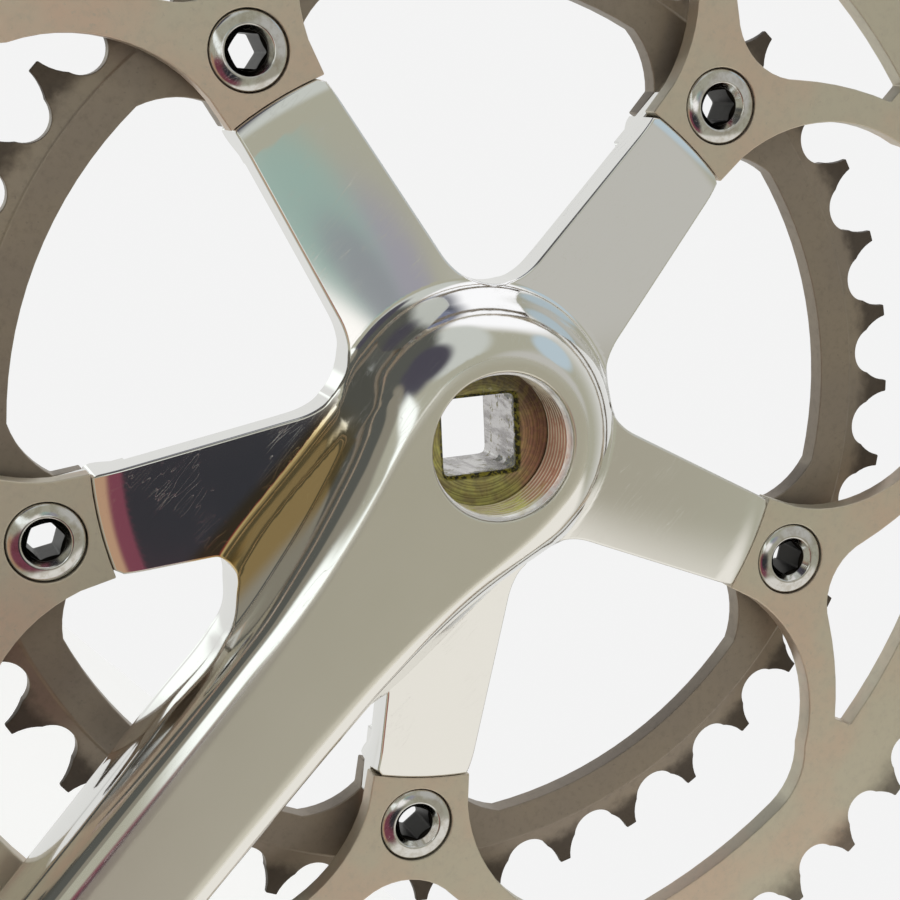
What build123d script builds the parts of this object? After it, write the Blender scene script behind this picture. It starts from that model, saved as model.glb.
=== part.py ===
from build123d import *
import os
from math import cos, hypot, pi, radians, sin, tan

# Drive-side bicycle crankset: forged square-taper crank arm with a five-arm
# spider, two chainrings and the five bolt-and-nut sets that clamp them.
# Millimetres. The spindle axis is the Y axis, +Y points inboard to the frame,
# the crank arm hangs along -Z, and the origin is the inboard mouth of the socket.

# ---------------------------------------------------------------- driving sizes
BOLT_CIRCLE_R = 65.0        # 130 mm bolt circle
SPIDER_ARMS = 5
FIRST_ARM_DEG = 90.0        # one spider arm points straight away from the crank arm
CRANK_LENGTH = 170.0        # spindle axis to pedal axis
BOSS_LENGTH = 25.5          # inboard face to outboard face of the boss

RING_PLATE = 3.5            # plate thickness of both chainrings
SPIDER_TAB = 3.3            # thickness of the spider tab between the rings
OUTER_FACE_Y = -6.7         # outboard face of the outer chainring
LEDGE_R = 57.0              # ledge on the spider that centres both rings
LEDGE_GAP = 0.1             # radial gap between a ring and the ledge

CHAIN_PITCH = 12.7
ROLLER_SEAT_R = 3.85        # radius of the floor of a tooth gap
TOOTH_HEIGHT = 3.1          # tooth tip above the pitch circle
TOOTH_THICKNESS = 2.1
OUTER_TEETH = 53
INNER_TEETH = 39
INNER_TOOTH_DEG = 70.05     # where one inner tooth stands

EXTRACTOR_R = 11.0          # M22 x 1 extractor thread, plain wall at nominal size
EXTRACTOR_DEPTH = 9.8
SQUARE_FLATS = 12.7         # across flats at the outboard end of the socket
TAPER_DEG = 2.0             # draft of each flat of the socket

PEDAL_THREAD_R = 7.14       # 9/16 in pedal thread, plain wall at nominal size
PEDAL_EYE_R = 14.5
PEDAL_EYE_THICKNESS = 13.0

BOLT_SHANK_R = 3.9          # M8 x 0.75 screw, plain at its major size
NUT_BORE_R = 3.96           # running clearance of 0.06 mm on the screw
SLEEVE_R = 5.0
SLEEVE_HOLE_R = 5.08
HEAD_R = 5.85
COUNTERBORE_R = 6.03
COUNTERBORE_DEPTH = 2.0
NUT_SEAT_DEPTH = 1.4
NUT_HEAD = 1.7
NUT_SLOT = 2.2
NUT_SLOT_DEPTH = 1.0
SLEEVE_SHORT = 0.8          # the sleeve stops short of the screw's head
SHANK_END_Y = 1.8
BOWL_R = 3.65               # countersunk mouth of the hexagon socket
HEX_KEY = 5.0

# ------------------------------------------------------------- worked-out sizes
tab_front_y = OUTER_FACE_Y + RING_PLATE
tab_back_y = tab_front_y + SPIDER_TAB
inner_back_y = tab_back_y + RING_PLATE
boss_front_y = -BOSS_LENGTH
arm_angles = [FIRST_ARM_DEG + 360.0 / SPIDER_ARMS * i for i in range(SPIDER_ARMS)]


def plan_plane(y):
    """Drawing plane seen from outboard: x right, y up, normal towards -Y."""
    return Plane(origin=(0, y, 0), x_dir=(1, 0, 0), z_dir=(0, -1, 0))


def in_arm_axes(angle, along, across):
    """A plan point given along and across a spider arm that points at the angle."""
    a = radians(angle)
    return (along * cos(a) - across * sin(a), along * sin(a) + across * cos(a))


def bolt_axis_point(angle, y):
    """A point on the axis of the chainring bolt at the angle."""
    return (BOLT_CIRCLE_R * cos(radians(angle)), y, BOLT_CIRCLE_R * sin(radians(angle)))


# ------------------------------------------------------------------- crank arm
# The spider is a dished disc turned about the spindle axis and cut to a star
# outline. The boss is part of the same turned profile. The arm is lofted down
# from the boss to the pedal eye.
FLAT_R = 13.4               # flat outboard face of the boss
DOME_R = 21.5               # foot of the dome around the boss
DOME_FOOT_Y = -13.7
ARM_HALF_WIDTH_TIP = 7.7
ARM_HALF_WIDTH_ROOT = 9.1
ARM_ROOT_ALONG = 28.0
TAB_END_R = 71.6
TAB_CORNER = 3.0
VALLEY_FILLET = 9.5
WEB_FILLET = 2.8
BACK_PAD = 1.7              # inboard ledge above the spider tab

dish_front = [
    # radius, y of the outboard surface of a spider arm
    (25.0, -12.4),
    (30.0, -11.6),
    (40.0, -10.1),
    (50.0, -8.6),
    (55.8, -7.8),
    (LEDGE_R, -7.0),
]
dish_back = [
    # radius, y of the inboard surface of a spider arm, from the tab inwards
    (54.6, tab_back_y + BACK_PAD),
    (51.5, -2.4),
    (40.0, -4.4),
    (30.0, -6.0),
    (21.0, -6.8),
    (17.5, -4.5),
    (17.0, 0.0),
]
web_outline = [
    # half outline of the web that ties the crank arm to the two arms beside it
    (0.0, -12.0),
    (20.5, -20.0),
    (16.6, -36.0),
    (11.9, -44.6),
    (0.0, -44.6),
]
arm_sections = [
    # distance below the spindle axis, half width of the outboard flat, of the
    # forging ridge and of the back, then the three heights above the boss back
    (2.0, 13.3, 17.5, 16.0, 25.5, 17.0, 8.0),
    (17.0, 10.2, 13.9, 14.0, 25.5, 18.0, 8.6),
    (30.0, 8.5, 12.5, 13.0, 25.5, 18.3, 9.2),
    (48.0, 7.6, 11.7, 11.9, 25.5, 18.3, 9.7),
    (75.0, 7.3, 11.3, 10.9, 25.6, 18.4, 10.2),
    (115.0, 7.1, 11.0, 10.2, 26.4, 19.3, 12.0),
    (150.0, 7.5, 11.3, 10.4, 28.0, 21.4, 15.0),
    (166.0, 8.6, 12.6, 11.6, 28.4, 22.0, 15.6),
]
pedal_back_y = -15.5        # inboard face of the pedal eye

with BuildPart() as crank_arm:
    with BuildSketch(Plane.XY) as dish_section:
        with BuildLine():
            Polyline((0, 0), (0, boss_front_y), (FLAT_R, boss_front_y))
            ThreePointArc((FLAT_R, boss_front_y), (19.3, -21.3), (DOME_R, DOME_FOOT_Y))
            Polyline((DOME_R, DOME_FOOT_Y), *dish_front)
            Polyline(
                dish_front[-1],
                (LEDGE_R, tab_front_y),
                (TAB_END_R, tab_front_y),
                (TAB_END_R, tab_back_y),
                (LEDGE_R, tab_back_y),
                (LEDGE_R, tab_back_y + BACK_PAD),
                *dish_back,
                (0, 0),
            )
        make_face()
    revolve(axis=Axis.Y)

    with BuildSketch(plan_plane(boss_front_y)) as star:
        for angle in arm_angles:
            with BuildLine():
                half_outline = [
                    in_arm_axes(angle, along, across)
                    for along, across in (
                        (0, ARM_HALF_WIDTH_ROOT),
                        (ARM_ROOT_ALONG, ARM_HALF_WIDTH_ROOT),
                        (LEDGE_R, ARM_HALF_WIDTH_TIP),
                        (BOLT_CIRCLE_R, ARM_HALF_WIDTH_TIP),
                        (TAB_END_R + 1.0, ARM_HALF_WIDTH_TIP - TAB_CORNER),
                    )
                ]
                other_half = [
                    in_arm_axes(angle, along, -across)
                    for along, across in (
                        (TAB_END_R + 1.0, ARM_HALF_WIDTH_TIP - TAB_CORNER),
                        (BOLT_CIRCLE_R, ARM_HALF_WIDTH_TIP),
                        (LEDGE_R, ARM_HALF_WIDTH_TIP),
                        (ARM_ROOT_ALONG, ARM_HALF_WIDTH_ROOT),
                        (0, ARM_HALF_WIDTH_ROOT),
                    )
                ]
                Polyline(*half_outline, *other_half, close=True)
            make_face()
        with BuildLine():
            Polyline(*web_outline, *[(-x, y) for x, y in reversed(web_outline[1:-1])], close=True)
        make_face()
        valleys = [v for v in star.vertices() if 14.0 < hypot(v.X, v.Y) < 18.0]
        fillet(valleys, VALLEY_FILLET)
        web_corners = [v for v in star.vertices() if 36.0 < hypot(v.X, v.Y) < 46.0 and 13.0 < abs(v.X) < 20.0]
        fillet(web_corners, WEB_FILLET)
    extrude(amount=-BOSS_LENGTH - 10.0, mode=Mode.INTERSECT)

    for down, flat_w, ridge_w, back_w, flat_h, ridge_h, back_h in arm_sections:
        section_plane = Plane(origin=(0, 0, -down), x_dir=(1, 0, 0), z_dir=(0, 0, -1))
        with BuildSketch(section_plane) as arm_section:
            with BuildLine():
                bulge_w = ridge_w - 0.28 * (ridge_w - flat_w)
                bulge_h = flat_h - 0.42 * (flat_h - ridge_h)
                Line((-flat_w, flat_h), (flat_w, flat_h))
                ThreePointArc((flat_w, flat_h), (bulge_w, bulge_h), (ridge_w, ridge_h))
                Line((ridge_w, ridge_h), (back_w, back_h))
                Line((back_w, back_h), (-back_w, back_h))
                Line((-back_w, back_h), (-ridge_w, ridge_h))
                ThreePointArc((-ridge_w, ridge_h), (-bulge_w, bulge_h), (-flat_w, flat_h))
            make_face()
    loft()
    # Pedal eye: a thick disc round the pedal thread.
    with BuildSketch(plan_plane(pedal_back_y)) as eye:
        with Locations((0, -CRANK_LENGTH)):
            Circle(PEDAL_EYE_R)
    extrude(amount=PEDAL_EYE_THICKNESS)
    with BuildSketch(plan_plane(pedal_back_y)) as pedal_hole:
        with Locations((0, -CRANK_LENGTH)):
            Circle(PEDAL_THREAD_R)
    extrude(amount=PEDAL_EYE_THICKNESS, mode=Mode.SUBTRACT)
    # Extractor thread and the tapered square socket, corners up and down.
    with BuildSketch(plan_plane(boss_front_y)) as extractor:
        Circle(EXTRACTOR_R)
    extrude(amount=-EXTRACTOR_DEPTH, mode=Mode.SUBTRACT)
    socket_length = BOSS_LENGTH - EXTRACTOR_DEPTH
    with BuildSketch(plan_plane(boss_front_y + EXTRACTOR_DEPTH)) as socket_small:
        Rectangle(SQUARE_FLATS, SQUARE_FLATS, rotation=45)
    with BuildSketch(plan_plane(0)) as socket_large:
        wide = SQUARE_FLATS + 2 * socket_length * tan(radians(TAPER_DEG))
        Rectangle(wide, wide, rotation=45)
    loft(mode=Mode.SUBTRACT)
    # Holes for the sleeves of the chainring nuts.
    with BuildSketch(plan_plane(tab_front_y)) as sleeve_holes:
        with PolarLocations(BOLT_CIRCLE_R, SPIDER_ARMS, start_angle=FIRST_ARM_DEG):
            Circle(SLEEVE_HOLE_R)
    extrude(amount=-2 * SPIDER_TAB, mode=Mode.SUBTRACT)
    extrude(sleeve_holes.sketch, amount=2 * SPIDER_TAB, mode=Mode.SUBTRACT)


# ------------------------------------------------------------------ chainrings
# A ring is a turned section cut to its outline: teeth outside, and inside the
# five tabs that reach in to the bolts.
def toothed_outline(teeth, first_tooth_deg):
    """Closed edge line of a sprocket: round gaps, bulging flanks, blunt tips."""
    pitch_r = CHAIN_PITCH / (2 * sin(pi / teeth))
    step = 360.0 / teeth
    seat_deg = 72.0
    tip_half = 0.95
    for i in range(teeth):
        gap = first_tooth_deg + (i + 0.5) * step
        seat = radians(seat_deg)
        seat_in = pitch_r - ROLLER_SEAT_R * cos(seat)
        seat_side = ROLLER_SEAT_R * sin(seat)
        start = in_arm_axes(gap, seat_in, -seat_side)
        middle = in_arm_axes(gap, pitch_r - ROLLER_SEAT_R, 0)
        end = in_arm_axes(gap, seat_in, seat_side)
        tooth = gap + step / 2
        tip_r = pitch_r + TOOTH_HEIGHT
        tip_a = in_arm_axes(tooth, tip_r, -tip_half)
        tip_b = in_arm_axes(tooth, tip_r, tip_half)
        next_start = in_arm_axes(gap + step, seat_in, -seat_side)
        ThreePointArc(start, middle, end)
        SagittaArc(end, tip_a, 0.35)
        Line(tip_a, tip_b)
        SagittaArc(tip_b, next_start, 0.35)


def opening_outline(tab, flare, rim_r):
    """Closed inner edge line: tab ends, flared tab sides and the rim between tabs.

    tab is the half width at the tab's end; flare lists along/across points that
    lead up one side of a tab to the rim, taken in pairs as arc middle and end.
    """
    tab_r = LEDGE_R + LEDGE_GAP
    tab_along = (tab_r**2 - tab**2) ** 0.5
    for angle in arm_angles:
        following = angle + 360.0 / SPIDER_ARMS
        ThreePointArc(
            in_arm_axes(angle, tab_along, -tab),
            in_arm_axes(angle, tab_r, 0),
            in_arm_axes(angle, tab_along, tab),
        )
        Line(in_arm_axes(angle, tab_along, tab), in_arm_axes(angle, *flare[0]))
        for a, m, b in zip(flare[0::2], flare[1::2], flare[2::2]):
            ThreePointArc(in_arm_axes(angle, *a), in_arm_axes(angle, *m), in_arm_axes(angle, *b))
        rim_start = in_arm_axes(angle, *flare[-1])
        rim_end = in_arm_axes(following, flare[-1][0], -flare[-1][1])
        middle = in_arm_axes((angle + following) / 2, rim_r, 0)
        ThreePointArc(rim_start, middle, rim_end)
        back = [(along, -across) for along, across in reversed(flare)]
        for a, m, b in zip(back[0::2], back[1::2], back[2::2]):
            ThreePointArc(
                in_arm_axes(following, *a),
                in_arm_axes(following, *m),
                in_arm_axes(following, *b),
            )
        Line(in_arm_axes(following, *back[-1]), in_arm_axes(following, tab_along, -tab))


PIN_R = 2.6                     # chain catch pin, pressed in behind the crank arm
PIN_CIRCLE_R = 97.6
PIN_HEAD_R = 3.2
PIN_REACH = 3.4
CRANK_ARM_DEG = 270.0
OUTER_RIM_R = 92.5
WINDOW_NOSE = (77.2, 7.4)       # where the round nose of a window ends
WINDOW_SIDE = (81.5, 13.4)
WINDOW_END = (86.2, 22.6)
outer_pitch_r = CHAIN_PITCH / (2 * sin(pi / OUTER_TEETH))
outer_tip_r = outer_pitch_r + TOOTH_HEIGHT
outer_flare = [(62.0, 8.5), (75.6, 15.6), (82.7, 29.0), (84.3, 34.8), (83.1, 40.6)]
tooth_front_y = OUTER_FACE_Y + 0.7
tooth_back_y = tooth_front_y + TOOTH_THICKNESS

with BuildPart() as outer_chainring:
    with BuildSketch(Plane.XY) as outer_section:
        with BuildLine():
            Polyline(
                (LEDGE_R - 5, OUTER_FACE_Y),
                (96.0, OUTER_FACE_Y),
                (96.8, OUTER_FACE_Y + 0.35),
                (101.3, OUTER_FACE_Y + 0.35),
                (102.1, tooth_front_y),
                (outer_tip_r - 2.6, tooth_front_y),
                (outer_tip_r + 0.4, tooth_front_y + 0.6),
                (outer_tip_r + 0.4, tooth_back_y - 0.6),
                (outer_tip_r - 2.6, tooth_back_y),
                (101.4, tooth_back_y),
                (100.4, tab_front_y),
                (LEDGE_R - 5, tab_front_y),
                close=True,
            )
        make_face()
    revolve(axis=Axis.Y)
    with BuildSketch(plan_plane(OUTER_FACE_Y - 1)) as outer_outline:
        with BuildLine():
            toothed_outline(OUTER_TEETH, FIRST_ARM_DEG)
        make_face()
        with BuildLine():
            opening_outline(8.1, outer_flare, OUTER_RIM_R)
        make_face(mode=Mode.SUBTRACT)
        for angle in arm_angles:
            with BuildLine():
                nose_a = in_arm_axes(angle, WINDOW_NOSE[0], -WINDOW_NOSE[1])
                nose_b = in_arm_axes(angle, *WINDOW_NOSE)
                end_a = in_arm_axes(angle, WINDOW_END[0], -WINDOW_END[1])
                end_b = in_arm_axes(angle, *WINDOW_END)
                side_a = in_arm_axes(angle, WINDOW_SIDE[0], -WINDOW_SIDE[1])
                side_b = in_arm_axes(angle, *WINDOW_SIDE)
                rim_along = (OUTER_RIM_R**2 - WINDOW_END[1] ** 2) ** 0.5
                rim_a = in_arm_axes(angle, rim_along, -WINDOW_END[1])
                rim_b = in_arm_axes(angle, rim_along, WINDOW_END[1])
                ThreePointArc(nose_a, in_arm_axes(angle, 74.3, 0), nose_b)
                ThreePointArc(nose_b, side_b, end_b)
                Line(end_b, rim_b)
                ThreePointArc(rim_b, in_arm_axes(angle, OUTER_RIM_R, 0), rim_a)
                Line(rim_a, end_a)
                ThreePointArc(end_a, side_a, nose_a)
            make_face(mode=Mode.SUBTRACT)
        with PolarLocations(BOLT_CIRCLE_R, SPIDER_ARMS, start_angle=FIRST_ARM_DEG):
            Circle(SLEEVE_HOLE_R, mode=Mode.SUBTRACT)
    extrude(amount=-RING_PLATE - 2, mode=Mode.INTERSECT)
    with BuildSketch(plan_plane(OUTER_FACE_Y)) as outer_counterbores:
        with PolarLocations(BOLT_CIRCLE_R, SPIDER_ARMS, start_angle=FIRST_ARM_DEG):
            Circle(COUNTERBORE_R)
    extrude(amount=-COUNTERBORE_DEPTH, mode=Mode.SUBTRACT)
    with BuildSketch(plan_plane(OUTER_FACE_Y)) as pin_hole:
        with Locations(in_arm_axes(CRANK_ARM_DEG, PIN_CIRCLE_R, 0)):
            Circle(PIN_R)
    extrude(amount=-RING_PLATE, mode=Mode.SUBTRACT)

INNER_RIM_R = 68.0
INNER_STEP_R = 73.4
inner_pitch_r = CHAIN_PITCH / (2 * sin(pi / INNER_TEETH))
inner_tip_r = inner_pitch_r + TOOTH_HEIGHT
inner_flare = [(61.0, 7.7), (63.6, 10.9), (65.6, 17.0)]

with BuildPart() as inner_chainring:
    with BuildSketch(Plane.XY) as inner_section:
        with BuildLine():
            Polyline(
                (LEDGE_R - 5, tab_back_y),
                (INNER_STEP_R, tab_back_y),
                (INNER_STEP_R + 0.5, tab_back_y + 0.4),
                (inner_tip_r - 3.6, inner_back_y - TOOTH_THICKNESS),
                (inner_tip_r + 0.4, inner_back_y - TOOTH_THICKNESS + 0.6),
                (inner_tip_r + 0.4, inner_back_y - 0.6),
                (inner_tip_r - 2.6, inner_back_y),
                (LEDGE_R - 5, inner_back_y),
                close=True,
            )
        make_face()
    revolve(axis=Axis.Y)
    with BuildSketch(plan_plane(tab_back_y - 1)) as inner_outline:
        with BuildLine():
            toothed_outline(INNER_TEETH, INNER_TOOTH_DEG)
        make_face()
        with BuildLine():
            opening_outline(7.5, inner_flare, INNER_RIM_R)
        make_face(mode=Mode.SUBTRACT)
        with PolarLocations(BOLT_CIRCLE_R, SPIDER_ARMS, start_angle=FIRST_ARM_DEG):
            Circle(SLEEVE_HOLE_R, mode=Mode.SUBTRACT)
    extrude(amount=-RING_PLATE - 2, mode=Mode.INTERSECT)
    with BuildSketch(plan_plane(inner_back_y)) as inner_counterbores:
        with PolarLocations(BOLT_CIRCLE_R, SPIDER_ARMS, start_angle=FIRST_ARM_DEG):
            Circle(COUNTERBORE_R)
    extrude(amount=NUT_SEAT_DEPTH, mode=Mode.SUBTRACT)


# -------------------------------------------------------------- chain catch pin
# A turned stud pressed into the outer ring behind the crank arm, which keeps a
# dropped chain out of the gap between ring and arm.
with BuildPart() as chain_catch_pin:
    pin_x, pin_z = in_arm_axes(CRANK_ARM_DEG, PIN_CIRCLE_R, 0)
    with BuildSketch(plan_plane(tab_front_y)) as pin_shank:
        with Locations((pin_x, pin_z)):
            Circle(PIN_R)
    extrude(amount=RING_PLATE)
    with BuildSketch(plan_plane(OUTER_FACE_Y)) as pin_head:
        with Locations((pin_x, pin_z)):
            Circle(PIN_HEAD_R)
    extrude(amount=PIN_REACH)
    chamfer(chain_catch_pin.faces().sort_by(Axis.Y)[0].edges(), 0.6)


# ------------------------------------------------------- chainring bolts and nuts
# A hollow screw comes in from outboard with a 5 mm hexagon socket right through
# it. It threads into a sleeve nut that comes in from inboard and passes through
# all three plates.
bolt_seat_y = OUTER_FACE_Y + COUNTERBORE_DEPTH
nut_seat_y = inner_back_y - NUT_SEAT_DEPTH
nut_back_y = nut_seat_y + NUT_HEAD
sleeve_front_y = bolt_seat_y + SLEEVE_SHORT
hex_corner_r = HEX_KEY / 2 / cos(pi / 6)


def chainring_bolt(angle):
    """One chainring screw, its axis parallel to Y at the angle's bolt hole."""
    seat = Plane(origin=bolt_axis_point(angle, 0), x_dir=(1, 0, 0), z_dir=(0, 0, 1))
    with BuildPart() as bolt:
        with BuildSketch(seat) as bolt_section:
            with BuildLine():
                Polyline(
                    (0, SHANK_END_Y),
                    (BOLT_SHANK_R - 0.4, SHANK_END_Y),
                    (BOLT_SHANK_R, SHANK_END_Y - 0.4),
                    (BOLT_SHANK_R, bolt_seat_y),
                    (HEAD_R, bolt_seat_y),
                    (HEAD_R, bolt_seat_y - 1.5),
                )
                ThreePointArc(
                    (HEAD_R, bolt_seat_y - 1.5),
                    (HEAD_R - 0.6, bolt_seat_y - 2.05),
                    (BOWL_R + 0.2, bolt_seat_y - 2.3),
                )
                Polyline(
                    (BOWL_R + 0.2, bolt_seat_y - 2.3),
                    (BOWL_R, bolt_seat_y - 2.15),
                    (hex_corner_r, bolt_seat_y - 1.5),
                    (0, bolt_seat_y - 1.5),
                    (0, SHANK_END_Y),
                )
            make_face()
        revolve(axis=Axis(seat.origin, (0, 1, 0)))
        centre = bolt_axis_point(angle, 0)
        with BuildSketch(plan_plane(bolt_seat_y - 2.5)) as key_hole:
            with Locations((centre[0], centre[2])):
                RegularPolygon(hex_corner_r, 6, rotation=angle + 12)
        extrude(amount=-20, mode=Mode.SUBTRACT)
    return bolt


def chainring_nut(angle):
    """One sleeve nut with a flanged, two-slotted inboard head."""
    seat = Plane(origin=bolt_axis_point(angle, 0), x_dir=(1, 0, 0), z_dir=(0, 0, 1))
    with BuildPart() as nut:
        with BuildSketch(seat) as nut_section:
            with BuildLine():
                Polyline(
                    (NUT_BORE_R, sleeve_front_y),
                    (SLEEVE_R - 0.3, sleeve_front_y),
                    (SLEEVE_R, sleeve_front_y + 0.3),
                    (SLEEVE_R, nut_seat_y),
                    (HEAD_R, nut_seat_y),
                    (HEAD_R, nut_back_y - 0.4),
                    (HEAD_R - 0.4, nut_back_y),
                    (NUT_BORE_R, nut_back_y),
                    close=True,
                )
            make_face()
        revolve(axis=Axis(seat.origin, (0, 1, 0)))
        centre = bolt_axis_point(angle, 0)
        with BuildSketch(plan_plane(nut_back_y)) as wrench_slots:
            with Locations((centre[0], centre[2])):
                Rectangle(2.4 * HEAD_R, NUT_SLOT, rotation=angle)
        extrude(amount=NUT_SLOT_DEPTH, mode=Mode.SUBTRACT)
    return nut


# ---------------------------------------------------------------------- export
os.makedirs("parts", exist_ok=True)
crank_arm.part.label = "crank_arm"
export_step(crank_arm.part, "parts/crank_arm.step")
outer_chainring.part.label = "outer_chainring"
export_step(outer_chainring.part, "parts/outer_chainring.step")
inner_chainring.part.label = "inner_chainring"
export_step(inner_chainring.part, "parts/inner_chainring.step")
chain_catch_pin.part.label = "chain_catch_pin"
export_step(chain_catch_pin.part, "parts/chain_catch_pin.step")
for number, angle in enumerate(arm_angles, start=1):
    bolt = chainring_bolt(angle)
    bolt.part.label = f"chainring_bolt_{number}"
    export_step(bolt.part, f"parts/chainring_bolt_{number}.step")
    nut = chainring_nut(angle)
    nut.part.label = f"chainring_nut_{number}"
    export_step(nut.part, f"parts/chainring_nut_{number}.step")
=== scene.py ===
import bmesh
import bpy
import numpy as np
from mathutils import Matrix, Vector


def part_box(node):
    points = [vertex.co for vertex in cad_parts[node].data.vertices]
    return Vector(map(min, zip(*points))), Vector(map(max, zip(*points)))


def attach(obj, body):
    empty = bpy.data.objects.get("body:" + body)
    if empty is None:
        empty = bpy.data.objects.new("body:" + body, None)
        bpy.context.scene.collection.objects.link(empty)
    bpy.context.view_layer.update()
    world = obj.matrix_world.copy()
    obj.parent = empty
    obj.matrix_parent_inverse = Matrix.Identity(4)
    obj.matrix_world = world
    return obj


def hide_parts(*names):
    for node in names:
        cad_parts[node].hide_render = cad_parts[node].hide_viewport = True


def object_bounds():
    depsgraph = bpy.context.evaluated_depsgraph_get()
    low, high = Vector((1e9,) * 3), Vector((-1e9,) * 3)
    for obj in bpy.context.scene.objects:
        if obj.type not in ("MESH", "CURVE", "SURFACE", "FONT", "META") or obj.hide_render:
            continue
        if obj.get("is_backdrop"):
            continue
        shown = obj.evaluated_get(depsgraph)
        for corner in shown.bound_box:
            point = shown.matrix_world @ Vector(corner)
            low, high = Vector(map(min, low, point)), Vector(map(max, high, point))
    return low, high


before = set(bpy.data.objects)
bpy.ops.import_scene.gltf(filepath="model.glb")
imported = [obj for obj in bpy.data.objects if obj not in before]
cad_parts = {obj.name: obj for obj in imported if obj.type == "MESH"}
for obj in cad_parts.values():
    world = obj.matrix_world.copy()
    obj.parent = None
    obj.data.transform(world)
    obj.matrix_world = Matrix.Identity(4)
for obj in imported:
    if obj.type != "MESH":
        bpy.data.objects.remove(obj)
cad_box = [list(corner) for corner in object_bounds()]

# ------------------------------------------------------------------------------
# Camera: a long lens close to the boss, a little left of square-on and rolled,
# so that the crank arm runs down to the left. Lengths in metres.
# ------------------------------------------------------------------------------
camera_data = bpy.data.cameras.new("camera")
camera_data.lens = 76.6
camera_data.sensor_width = 36.0
camera_data.clip_start = 0.01
camera_data.dof.use_dof = False
camera = bpy.data.objects.new("camera", camera_data)
bpy.context.scene.collection.objects.link(camera)
camera_right = Vector((0.6931, -0.3460, 0.6324)).normalized()
camera_back = camera_right.cross(Vector((-0.6088, 0.1887, 0.7705))).normalized()
camera_up = camera_back.cross(camera_right)
camera_turn = Matrix((camera_right, camera_up, camera_back)).transposed().to_4x4()
camera.matrix_world = Matrix.Translation((-0.1127, -0.2784, -0.0275)) @ camera_turn
bpy.context.scene.camera = camera

# ------------------------------------------------------------------------------
# The studio: a plain pale floor and backdrop, inside a light tent that is only
# seen in the metal. The tent is a warm grey with paler and darker patches, which
# the polished forging mirrors, and two soft lights hang in it.
# ------------------------------------------------------------------------------
class Value:
    """A shader value. Arithmetic on it adds Math nodes to its material."""

    def __init__(self, tree, socket):
        self.tree, self.socket = tree, socket

    def math(self, operation, *others):
        node = self.tree.nodes.new("ShaderNodeMath")
        node.operation = operation
        for socket, value in zip(node.inputs, (self,) + others):
            feed(self.tree, socket, value)
        return Value(self.tree, node.outputs[0])

    def __add__(self, other):
        return self.math("ADD", other)

    def __mul__(self, other):
        return self.math("MULTIPLY", other)

    def __sub__(self, other):
        return self.math("SUBTRACT", other)

    def __rsub__(self, other):
        return self.math("MULTIPLY_ADD", -1.0, other)

    __radd__ = __add__
    __rmul__ = __mul__


def feed(tree, socket, value):
    """Links a value to a socket, or sets the socket to a constant."""
    if isinstance(value, Value):
        tree.links.new(value.socket, socket)
    elif isinstance(value, tuple) and len(value) == 3 and socket.type == "RGBA":
        socket.default_value = (*value, 1.0)
    else:
        socket.default_value = value


class Finish:
    """A node material and the few kinds of pattern that its finish is made of."""

    def __init__(self, name, **constants):
        self.material = bpy.data.materials.new(name)
        self.material.use_nodes = True
        self.tree = self.material.node_tree
        self.shader = self.tree.nodes["Principled BSDF"]
        for key, value in constants.items():
            feed(self.tree, self.shader.inputs[key.replace("_", " ").title()], value)
        self.here = self.node("ShaderNodeTexCoord", out="Object")

    def node(self, kind, settings=None, inputs=None, out=0):
        """Any node: its settings are set first, then its inputs; gives one output."""
        node = self.tree.nodes.new(kind)
        for key, value in (settings or {}).items():
            setattr(node, key, value)
        for key, value in (inputs or {}).items():
            feed(self.tree, node.inputs[key], value)
        return Value(self.tree, node.outputs[out])

    def set(self, key, value):
        feed(self.tree, self.shader.inputs[key], value)

    def noise(self, size, detail=3.0, stretch=(1, 1, 1), turn=(0, 0, 0), rough=0.55):
        """Noise whose features are about size millimetres, stretched along turned axes."""
        scale = tuple(1.0 / k for k in stretch)
        place = self.node("ShaderNodeMapping", inputs={"Vector": self.here, "Rotation": turn, "Scale": scale})
        inputs = {"Vector": place, "Scale": 1000.0 / size, "Detail": detail, "Roughness": rough}
        return self.node("ShaderNodeTexNoise", inputs=inputs, out="Fac")

    def step(self, value, low, high):
        """0 below low, 1 above high, smooth between; falling when low is above high."""
        inputs = {"Value": value, "From Min": min(low, high), "From Max": max(low, high)}
        up = self.node("ShaderNodeMapRange", {"interpolation_type": "SMOOTHSTEP"}, inputs)
        return up if low < high else 1 - up

    def mix(self, share, first, second):
        settings = {"data_type": "RGBA", "blend_type": "MIX"}
        return self.node("ShaderNodeMix", settings, {0: share, 6: first, 7: second}, 2)

    def scratches(self, turn, length, fine, width=0.003):
        """Long thin marks: where a stretched noise crosses its middle value, in broken patches."""
        lines = self.noise(fine, 0.0, (1, 1, length), (0, turn, 0))
        mark = self.step((lines - 0.5).math("ABSOLUTE"), width, width * 0.2)
        patches = self.step(self.noise(fine * 9, 1.0, (1, 1, 1.5), (0, turn + 0.3, 0)), 0.55, 0.62)
        return mark * patches

    def bump(self, height, strength, distance):
        inputs = {"Height": height, "Strength": strength, "Distance": distance}
        return self.node("ShaderNodeBump", inputs=inputs)


def glow(name, strength):
    """An emission material for the tent, whose colour the caller builds."""
    finish = Finish(name, base_color=(0.0, 0.0, 0.0), roughness=1.0)
    finish.set("Emission Strength", strength)
    finish.set("Specular IOR Level", 0.0)
    return finish


tent_look = glow("tent_cloth", 1.0)
spot = tent_look.node("ShaderNodeVectorMath", {"operation": "NORMALIZE"}, {0: tent_look.here})
tent_x = tent_look.node("ShaderNodeSeparateXYZ", inputs={0: spot}, out="X")
tent_z = Value(tent_look.tree, tent_x.socket.node.outputs["Z"])


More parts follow.
